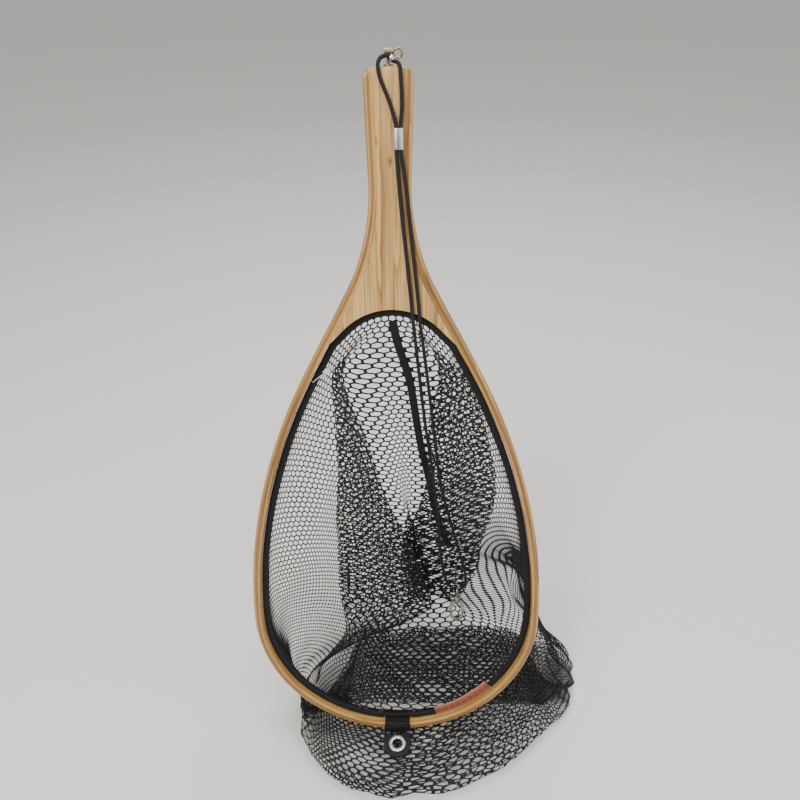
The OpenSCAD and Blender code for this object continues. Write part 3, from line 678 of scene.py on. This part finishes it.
def bag_grid():
    """The bag's surface, in metres: AROUND columns from the tip rightwards, DOWN + 1 rows from
    the mouth down its side, out over the floor and back under itself to the bottom seam."""
    mouth, girth = opening_outline(BAG_INSET, AROUND)
    ground = GROUND / MM
    flat = np.stack([mouth[:, 0], mouth[:, 1], np.full(AROUND, MID)], axis=1)
    top = in_row(flat) / MM
    middle = (HOOP_LENGTH - 94) * 0.45
    angle = np.arctan2((mouth[:, 1] - middle) / HOOP_LENGTH, mouth[:, 0] / HALF_HOOP / 1.1)
    edge = np.stack([np.cos(angle), np.sin(angle)], axis=1)
    foot = np.concatenate([SPILL_CENTRE + SPILL_REACH * edge, np.full((AROUND, 1), ground + 3)], 1)
    foot[:, 0] -= 38 * np.maximum(0, -edge[:, 1]) ** 2
    foot[:, 1] += 42 * np.maximum(0, edge[:, 0]) ** 2
    height = top[:, 2] - ground
    knee = np.stack([
        0.75 * top[:, 0] + 0.25 * foot[:, 0], top[:, 1] + 38,
        ground + 0.22 * height - 14 * (1 - np.minimum(1, height / 150))], axis=1)
    seam = np.stack([SPILL_CENTRE[0] + 105 * edge[:, 0], np.full(AROUND, SPILL_CENTRE[1] + 8),
                     np.full(AROUND, ground + 1.0)], axis=1)
    t = np.linspace(0, 1, 161)[None, :, None]
    side = (1 - t) ** 2 * top[:, None] + 2 * t * (1 - t) * knee[:, None] + t ** 2 * foot[:, None]
    side[:, :, 2] = np.maximum(side[:, :, 2], ground + 3)
    front = smoothstep(0.0, 0.6, -edge[:, 1])[:, None]
    turn = seam + front * np.array([0, 86, 6]) + 0.12 * (foot - seam) * (1 - front)
    share = np.linspace(0, 1, 41)[None, 1:, None]
    under = foot[:, None] + (turn - foot)[:, None] * share
    under[:, :, 2] = ground + 1.0 + 7.0 * front * np.sin(math.pi * share[:, :, 0] / 2)
    end = turn[:, None] + (seam - turn)[:, None] * share
    path = np.concatenate([side, under, end], axis=1)
    steps = np.linalg.norm(np.diff(path, axis=1), axis=2)
    run = np.concatenate([np.zeros((AROUND, 1)), np.cumsum(steps, axis=1)], axis=1)
    grid = np.empty((AROUND, DOWN + 1, 3))
    for k in range(AROUND):
        at = np.linspace(0, run[k, -1], DOWN + 1)
        for axis in range(3):
            grid[k, :, axis] = np.interp(at, run[k], path[k, :, axis])
    return fold(grid, top), girth


# The two folds of the hanging net, each three layers thick: where the cloth turns, in shares of
# the half width, and how far the folds stand out
FOLD_TURNS = (-1.0, -0.70, -0.46, -0.24, 0.14, 0.42, 0.68, 1.0)
FOLD_LIFTS = [(-0.58, 0.36, 8.0), (0.55, 0.40, -9.0)]


def fold_edges(drop, half):
    """Where the cloth of FOLD_TURNS hangs at a drop below the throat, in the hoop's half width."""
    t = drop / 200
    low = smoothstep(0.9, 1.6, t)
    left = np.maximum(-63 - 16 * low, -0.96 * half)
    slant = np.clip(-52 + 45 * t + 18 * low, left + 1, None)
    near = np.minimum(34 - 10 * np.clip(t, 0, 1) - 28 * low, 0.7 * half)
    far = 0.95 * half
    return [-half, slant, left, slant, near, far, near, half]


def fold(grid, mouth_top):
    """Folds that double back on themselves, and crumpling that grows towards the floor."""
    ground = GROUND / MM
    share = np.arange(AROUND)[:, None] / AROUND
    depth = np.linspace(0, BAG_DEPTH, DOWN + 1)[None, :] * np.ones((AROUND, 1))
    tangent = np.roll(grid, -1, 0) - np.roll(grid, 1, 0)
    normal = np.cross(tangent, np.gradient(grid, axis=1))
    normal /= np.linalg.norm(normal, axis=2)[:, :, None] + 1e-9
    grid = grid.copy()
    height = grid[:, :, 2] - ground
    throat = mouth_top[:, 2].max()
    right = mouth_top[:AROUND // 2]
    widest = int(np.argmax(right[:, 0]))
    rim = right[widest:][::-1]
    half = np.interp(-grid[:, :, 2], -rim[:, 2], rim[:, 0])
    half = np.maximum(half, 20.0)
    place = grid[:, :, 0] / half
    hung = np.zeros_like(place)
    edges = fold_edges(throat - grid[:, :, 2], half)
    inside = np.clip(place, -1, 1)
    for (a, b), (low, high) in zip(zip(FOLD_TURNS, FOLD_TURNS[1:]), zip(edges, edges[1:])):
        here = (inside >= a) & (inside <= b)
        part = (inside - a) / (b - a)
        part = part + 0.16 * np.sin(2 * math.pi * part) / 2
        hung = np.where(here, low + part * (high - low), hung)
    back = smoothstep(0.14, 0.27, share) * smoothstep(0.14, 0.27, 1 - share)
    grow = smoothstep(0, 70, depth) * back * smoothstep(8, 75, height) * (np.abs(place) < 1)
    shift = (hung - grid[:, :, 0]) * grow
    for _ in range(2):
        shift = sum(np.roll(shift, k, 0) for k in (-1, 0, 1)) / 3
    grid[:, :, 0] += shift
    for middle, width, lift in FOLD_LIFTS:
        x = (place - middle) / width
        bulge = lift * np.sin(math.pi * x) + abs(lift) * (0.7 + 0.7 * np.cos(math.pi * x))
        grid[:, :, 1] += bulge * grow * (np.abs(x) < 1)
    crumple = smoothstep(40, 300, depth) * (0.35 + 0.65 * np.exp(-height / 120))
    out = 4.5 * ripple(share * 41, depth / 40, 3) * crumple
    out = out + 2.2 * ripple(share * 96, depth / 17, 5) * crumple
    grid[:, :, 0] += 5.0 * ripple(share * 60, depth / 38, 7) * crumple
    reach = np.clip(height / 8, 0.15, 1.0)
    return crumple_floor(grid + normal * (out * reach)[:, :, None])


def crumple_floor(grid):
    """Lifts the mesh that lies on the floor into soft wrinkles, flat where the hoop rests on it."""
    ground = GROUND / MM
    x, y, z = grid[:, :, 0], grid[:, :, 1], grid[:, :, 2]
    tip = in_row([0, 0, 0]) / MM
    near_floor = np.exp(-np.maximum(z - ground - 3, 0) / 25)
    clear_of_hoop = smoothstep(6, 45, np.hypot(x * 0.8, y - tip[1] + 4))
    wrinkle = 0.5 + 0.5 * ripple(x / 15, y / 15, 11)
    fine = 0.5 + 0.5 * ripple(x / 6.5, y / 6.5, 12)
    rank = np.linspace(0, 1, grid.shape[1])[None, :]
    over = smoothstep(0.02, 0.25, rank) * (1 - smoothstep(0.72, 0.95, rank))
    lift = (11 * np.clip(wrinkle, 0, 1.3) + 4 * np.clip(fine, 0, 1.3)) * near_floor * over * clear_of_hoop
    grid = grid.copy()
    grid[:, :, 2] = np.maximum(z, ground + 0.8) + lift
    return grid * MM


def bilinear(grid, across, down):
    """Points on the grid at fractional columns (which wrap round) and rows."""
    a0 = np.floor(across).astype(int)
    d0 = np.clip(np.floor(down).astype(int), 0, grid.shape[1] - 2)
    fa, fd = (across - a0)[..., None], (down - d0)[..., None]
    a0 %= grid.shape[0]
    a1 = (a0 + 1) % grid.shape[0]
    return ((1 - fa) * (1 - fd) * grid[a0, d0] + fa * (1 - fd) * grid[a1, d0]
            + (1 - fa) * fd * grid[a0, d0 + 1] + fa * fd * grid[a1, d0 + 1])


CELLS_ROUND = 180
CELL_ROWS = 92
STRAND_SHARE = 0.80
STRAND_THICK = 0.00050
PANELS = 4


def net_panels(grid, girth, material):
    """The bag as a mesh of hexagonal cells with real holes, cut into panels of equal width."""
    rows = grid.shape[1] - 1
    tangent = np.roll(grid, -1, 0) - np.roll(grid, 1, 0)
    normals = np.cross(tangent, np.gradient(grid, axis=1))
    normals /= np.linalg.norm(normals, axis=2)[:, :, None] + 1e-12
    corner = np.array([(0, 2 / 3), (0.5, 1 / 3), (0.5, -1 / 3), (0, -2 / 3), (-0.5, -1 / 3), (-0.5, 1 / 3)])
    made = []
    per_panel = CELLS_ROUND // PANELS
    for panel in range(PANELS):
        keys, outer, inner = {}, [], []
        cells = []
        for row in range(CELL_ROWS):
            for column in range(panel * per_panel, (panel + 1) * per_panel):
                x0 = column + 0.5 * (row % 2)
                y0 = row + 2 / 3
                ring = []
                for dx, dy in corner:
                    key = (round((x0 + dx) * 2), round((y0 + dy) * 3))
                    if key not in keys:
                        keys[key] = len(outer)
                        outer.append((x0 + dx, y0 + dy))
                    ring.append(keys[key])
                first = len(inner)
                inner += [(x0 + STRAND_SHARE * dx, y0 + STRAND_SHARE * dy) for dx, dy in corner]
                cells.append((ring, first))
        flat = np.array(outer + inner)
        across = flat[:, 0] / CELLS_ROUND * grid.shape[0]
        down = flat[:, 1] / (CELL_ROWS + 1 / 3) * rows
        spots, lift = bilinear(grid, across, down), bilinear(normals, across, down)
        points = np.concatenate([spots + lift * STRAND_THICK / 2, spots - lift * STRAND_THICK / 2])
        count, shift = len(flat), len(outer)
        faces = []
        edge_use = {}
        for ring, first in cells:
            for k in range(6):
                n = (k + 1) % 6
                a, b, c, d = ring[k], ring[n], shift + first + n, shift + first + k
                faces.append((a, b, c, d))
                faces.append((count + a, count + d, count + c, count + b))
                faces.append((d, c, count + c, count + d))
                edge = (a, b) if a < b else (b, a)
                edge_use[edge] = None if edge in edge_use else (a, b)
        faces += [(b, a, count + a, count + b) for a, b in filter(None, edge_use.values())]
        made.append(add_big_mesh(f"net_bag_panel_{panel + 1}", points, faces, "frame", material))
    return made


def add_big_mesh(name, points, faces, body, material):
    """add_mesh for all-quad meshes of many faces."""
    mesh = bpy.data.meshes.new(name)
    quads = np.array(faces, np.int32)
    mesh.vertices.add(len(points))
    mesh.vertices.foreach_set("co", np.asarray(points, np.float32).ravel())
    mesh.loops.add(quads.size)
    mesh.loops.foreach_set("vertex_index", quads.ravel())
    mesh.polygons.add(len(quads))
    mesh.polygons.foreach_set("loop_start", np.arange(0, quads.size, 4, dtype=np.int32))
    mesh.polygons.foreach_set("loop_total", np.full(len(quads), 4, np.int32))
    mesh.update(calc_edges=True)
    mesh.validate()
    mesh.materials.append(material)
    piece = bpy.data.objects.new(name, mesh)
    bpy.context.scene.collection.objects.link(piece)
    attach(piece, body)
    return piece


# ---- what is sewn to the bag ----
def binding_tape_piece(material):
    """The folded tape round the mouth: puffed between its stitches, notched at the strap."""
    loop, girth = opening_outline(RIM_WALL + 3.4, 640)
    strap = np.hypot(loop[:, 0], 0) < 14.6
    low = (loop[:, 1] < 60) & strap
    run = np.arange(len(loop)) / len(loop) * girth
    centre = np.stack([loop[:, 0], loop[:, 1], np.full(len(loop), MID)], axis=1)
    puff = 1 + 0.16 * np.abs(np.sin(math.pi * run / 9.0)) + 0.05 * np.sin(run * 0.37)
    middle = loop.mean(0)
    inward = np.roll(loop, -1, 0) - np.roll(loop, 1, 0)
    inward = np.stack([-inward[:, 1], inward[:, 0]], axis=1)
    inward /= np.linalg.norm(inward, axis=1)[:, None]
    profile = []
    base = strap_profile(6.2, 2.3, 1.1, 4)
    for k in range(len(loop)):
        section = base * [1, puff[k]]
        if low[k]:
            section = section * [0.62, 0.9] + [1.2, 0]
        profile.append(section)
    profile = np.array(profile)
    points = np.concatenate([
        centre[k] + np.stack([inward[k][0] * profile[k][:, 0], inward[k][1] * profile[k][:, 0],
                              profile[k][:, 1]], axis=1) for k in range(len(loop))])
    sides = profile.shape[1]
    edge = np.concatenate([[0], np.cumsum(np.linalg.norm(np.diff(base, axis=0), axis=1))])
    grain = np.stack([np.tile(edge, len(loop)), np.repeat(run, sides), np.zeros(len(points))], 1)
    faces = tube_faces(len(loop), sides, closed=True)
    piece = add_mesh("binding_tape_folded", in_row(points), faces, "frame", material,
                     grain * MM)
    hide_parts("binding_tape")
    return piece


def seam_tape_piece(grid, girth, material):
    """The flat black tape over the bag's seam, on the inside of the back panel."""
    tangent = np.roll(grid, -1, 0) - np.roll(grid, 1, 0)
    normals = np.cross(tangent, np.gradient(grid, axis=1))
    normals /= np.linalg.norm(normals, axis=2)[:, :, None] + 1e-12
    rows = np.linspace(0.5, 0.62 * DOWN, 90)
    columns = AROUND * 0.5 - rows / DOWN * 4.5
    centre, lift = bilinear(grid, columns, rows), bilinear(normals, columns, rows)
    inner = -np.sign((lift @ np.array([0, -1, 0])).mean()) or 1.0
    lift = lift * -inner
    centre = smooth_rows(centre, 9) + lift * 0.0016
    profile = strap_profile(0.0072, 0.0009, 0.0004, 3)
    points, grain = sweep(centre, profile, upright=smooth_rows(lift, 9))
    sides = len(profile)
    piece = add_mesh("seam_tape_woven", points, tube_faces(len(centre), sides), "frame", material,
                     grain)
    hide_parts("seam_tape")
    return piece


def smooth_rows(values, width):
    """A running average along the first axis, ends kept."""
    pad = width // 2
    padded = np.concatenate([np.repeat(values[:1], pad, 0), values, np.repeat(values[-1:], pad, 0)])
    return np.stack([padded[k:k + len(values)] for k in range(width)]).mean(0)


def label_piece(material):
    """A thin cloth label that curves with the hoop, its inner edge curling forward."""
    angles = np.linspace(-71.5, -42, 60)
    rows = np.linspace(0, 1, 12)
    points, grain = [], []
    for layer in (0.35, -0.35):
        for a in angles:
            for r in rows:
                radius = HALF_HOOP - RIM_WALL - 0.4 - 10.4 * r
                bow = 0.9 * math.sin(math.pi * r) + 0.5 * r * math.sin(math.radians(a * 9))
                end = 0.6 * math.cos(math.radians((a + 56.7) * 6)) * r
                spot = np.array([0, HALF_HOOP]) + radius * way(a)[0]
                points.append((spot[0], spot[1], 9.0 + layer + bow + end))
                grain.append((10.4 * r, math.radians(a + 71.5) * 124, layer))
    across, along = len(rows), len(angles)
    shift = across * along
    faces = []
    for i in range(along - 1):
        for j in range(across - 1):
            a = i * across + j
            faces.append((a, a + across, a + across + 1, a + 1))
            faces.append((shift + a, shift + a + 1, shift + a + across + 1, shift + a + across))
    border = ([i * across for i in range(along)] + [(along - 1) * across + j for j in range(1, across)]
              + [i * across + across - 1 for i in range(along - 2, -1, -1)]
              + [j for j in range(across - 2, 0, -1)])
    for k, a in enumerate(border):
        b = border[(k + 1) % len(border)]
        faces.append((b, a, shift + a, shift + b))
    piece = add_mesh("label_woven", in_row(points), faces, "frame", material,
                     np.array(grain) * MM, sharp=50)
    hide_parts("label")
    return piece


# ---- the lanyard's cord ----
# Its route in the net plane, in metres: from the small crimp, down the right strand, through
# the clip's eye, up the left strand and back into the small crimp.
CORD_ROUTE = [
    (0.0029, 0.6198, 0.0116), (0.0052, 0.619, 0.0134), (0.0074, 0.6174, 0.0159),
    (0.0088, 0.6126, 0.017), (0.0098, 0.592, 0.0172), (0.00865, 0.575, 0.0176),
    (0.00865, 0.56, 0.0176), (0.0112, 0.542, 0.0171), (0.0135, 0.524, 0.0169),
    (0.0175, 0.485, 0.0169), (0.0216, 0.446, 0.0169), (0.0228, 0.431, 0.0169),
    (0.025, 0.414, 0.011), (0.031, 0.364, -0.007), (0.036, 0.32, -0.02), (0.043, 0.26, -0.036),
    (0.052, 0.22, -0.045), (0.064, 0.172, -0.053), (0.072, 0.14, -0.058), (0.072, 0.124, -0.06),
    (0.064, 0.116, -0.061), (0.055, 0.124, -0.06), (0.049, 0.142, -0.057), (0.045, 0.172, -0.052),
    (0.042, 0.212, -0.045), (0.036, 0.268, -0.033), (0.029, 0.32, -0.02), (0.024, 0.364, -0.007),
    (0.019, 0.415, 0.011), (0.0172, 0.432, 0.0169), (0.016, 0.446, 0.0169), (0.012, 0.485, 0.0169),
    (0.008, 0.524, 0.0169), (0.00535, 0.56, 0.0176), (0.00535, 0.575, 0.0176),
    (0.0015, 0.59, 0.0172), (-0.0054, 0.607, 0.0169), (-0.0072, 0.6152, 0.0167),
    (-0.0062, 0.6204, 0.0142), (-0.0026, 0.6229, 0.0119), (0.0035, 0.6228, 0.0116)]
CORD_DIAMETER = 0.003


def cord_piece(material):
    path = in_row(smooth_path(np.array(CORD_ROUTE) / MM, 8))
    points, grain = sweep(path, round_profile(CORD_DIAMETER / 2 * 0.985, 16))
    piece = add_mesh("lanyard_elastic", points, tube_faces(len(path), 16), "lanyard", material,
                     grain)
    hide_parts("lanyard_cord")
    return piece


# ---- make everything ----
add_camera()
add_studio()
cord = cord_piece(woven("elastic_braid", (0.004, 0.004, 0.005), (0.022, 0.022, 0.025), 3300, 2600))

KNOTS = [((-0.0105, 0.566, 0.015), 0.0009), ((0.0005, 0.552, 0.015), 0.0008)]
hoop_wood = wood("hoop_ash", (0.55, 0.315, 0.090), (0.22, 0.105, 0.024), 60)
core_wood = wood("core_walnut", (0.30, 0.155, 0.048), (0.13, 0.060, 0.017), 60)
handle_wood = wood("handle_ash", (0.68, 0.43, 0.155), (0.25, 0.125, 0.033), 75, KNOTS)
wooden = [
    strip_piece("outer_lamination", "outer_strip", hoop_wood, 0, 2.4, 2.2, 0, 1),
    strip_piece("middle_lamination", "middle_strip", core_wood, 2.4, 4.8, 0, 0, 0),
    strip_piece("inner_lamination", "inner_strip", hoop_wood, 4.8, 7.2, 0, 1.9, 0),
    handle_piece(handle_wood)]
trim(wooden, butt_cutter())
for piece in wooden[:3]:
    set_grain(piece, bent_grain(points_of(piece)))
set_grain(wooden[3], points_of(wooden[3]))

mesh_cloth = strand_cloth("net_nylon")
bag, bag_girth = bag_grid()
panels = net_panels(bag, bag_girth, mesh_cloth)
for panel in panels:
    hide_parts("net_bag")

tape_cloth = woven("tape_ribbon", (0.004, 0.004, 0.005), (0.016, 0.016, 0.018), 2500, 2500)
binding_tape_piece(tape_cloth)
seam_tape_piece(bag, bag_girth, tape_cloth)
label_piece(label_cloth("label_weave"))

finishes = {
    "lacing_thread": strand_cloth("lacing_nylon"),
    "tag_tie": clear_plastic("tie_plastic"),
    "leather_loop": leather("strap_leather"),
    "leather_tab": leather("tab_leather"),
    "grommet": metal("grommet_nickel", (0.72, 0.71, 0.69), 0.14),
    "grommet_washer": metal("washer_nickel", (0.70, 0.69, 0.67), 0.2),
    "screw_post": metal("post_bronze", (0.36, 0.19, 0.09), 0.3),
    "swivel_barrel": metal("barrel_bronze", (0.40, 0.29, 0.16), 0.28),
    "ring_eye": metal("ring_bronze", (0.44, 0.36, 0.24), 0.22),
    "loop_crimp": metal("loop_crimp_metal", (0.66, 0.65, 0.68), 0.25),
    "cord_crimp": metal("cord_crimp_metal", (0.64, 0.63, 0.70), 0.3),
    "swivel_eye": metal("eye_steel", (0.36, 0.35, 0.33), 0.16),
    "hook_body": metal("hook_steel", (0.34, 0.33, 0.31), 0.16),
    "gate_pin": metal("pin_steel", (0.55, 0.54, 0.53), 0.25),
    "gate_spring": metal("spring_steel", (0.5, 0.5, 0.5), 0.3),
    "gate_lever": metal("lever_steel", (0.50, 0.48, 0.45), 0.16),
}
for node_name, material in finishes.items():
    data = nodes[node_name].data
    data.materials.clear()
    data.materials.append(material)
    data.shade_smooth()
    data.set_sharp_from_angle(angle=math.radians(35))

def softened(node_name, material, radius):
    """A CAD piece with its sharp edges rounded over, which takes that piece's place."""
    source = nodes[node_name]
    mesh = bmesh.new()
    mesh.from_mesh(source.data)
    mesh.transform(source.matrix_world)
    bmesh.ops.remove_doubles(mesh, verts=mesh.verts, dist=2e-6)
    bmesh.ops.dissolve_limit(mesh, angle_limit=math.radians(1), verts=mesh.verts, edges=mesh.edges)
    sharp = [e for e in mesh.edges if len(e.link_faces) == 2 and e.calc_face_angle(0) > math.radians(38)]
    bmesh.ops.bevel(mesh, geom=sharp, offset=radius * MM, segments=3, profile=0.5, affect="EDGES",
                    clamp_overlap=True)
    bmesh.ops.triangulate(mesh, faces=mesh.faces)
    data = bpy.data.meshes.new(node_name + "_finished")
    mesh.to_mesh(data)
    mesh.free()
    piece = bpy.data.objects.new(node_name + "_finished", data)
    bpy.context.scene.collection.objects.link(piece)
    data.materials.append(material)
    data.shade_smooth()
    data.set_sharp_from_angle(angle=math.radians(35))
    body = next(name for name, held in BODIES.items() if node_name in held)
    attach(piece, body)
    set_grain(piece, points_of(piece))
    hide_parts(node_name)


BODIES = {
    "frame": ("leather_loop", "swivel_barrel", "tag_tie"),
    "tab": ("leather_tab", "grommet", "grommet_washer"),
    "lanyard": ("cord_crimp", "loop_crimp"),
    "clip_hook": ("hook_body",), "clip_gate": ("gate_lever",)}
softened("leather_loop", finishes["leather_loop"], 0.45)
softened("leather_tab", finishes["leather_tab"], 0.45)
softened("cord_crimp", crimped("cord_crimp_pressed", (0.66, 0.65, 0.72), 0.007), 0.25)
softened("loop_crimp", finishes["loop_crimp"], 0.2)
softened("grommet", finishes["grommet"], 0.25)
softened("hook_body", finishes["hook_body"], 0.35)
softened("gate_lever", finishes["gate_lever"], 0.2)

floor_mesh = bpy.data.meshes.new("floor")
reach = 30.0
floor_mesh.from_pydata([(-reach, -reach, GROUND), (reach, -reach, GROUND), (reach, reach, GROUND),
                        (-reach, reach, GROUND)], [], [(0, 1, 2, 3)])
floor_mesh.materials.append(pale_floor("floor_plain"))
floor = bpy.data.objects.new("floor", floor_mesh)
bpy.context.scene.collection.objects.link(floor)
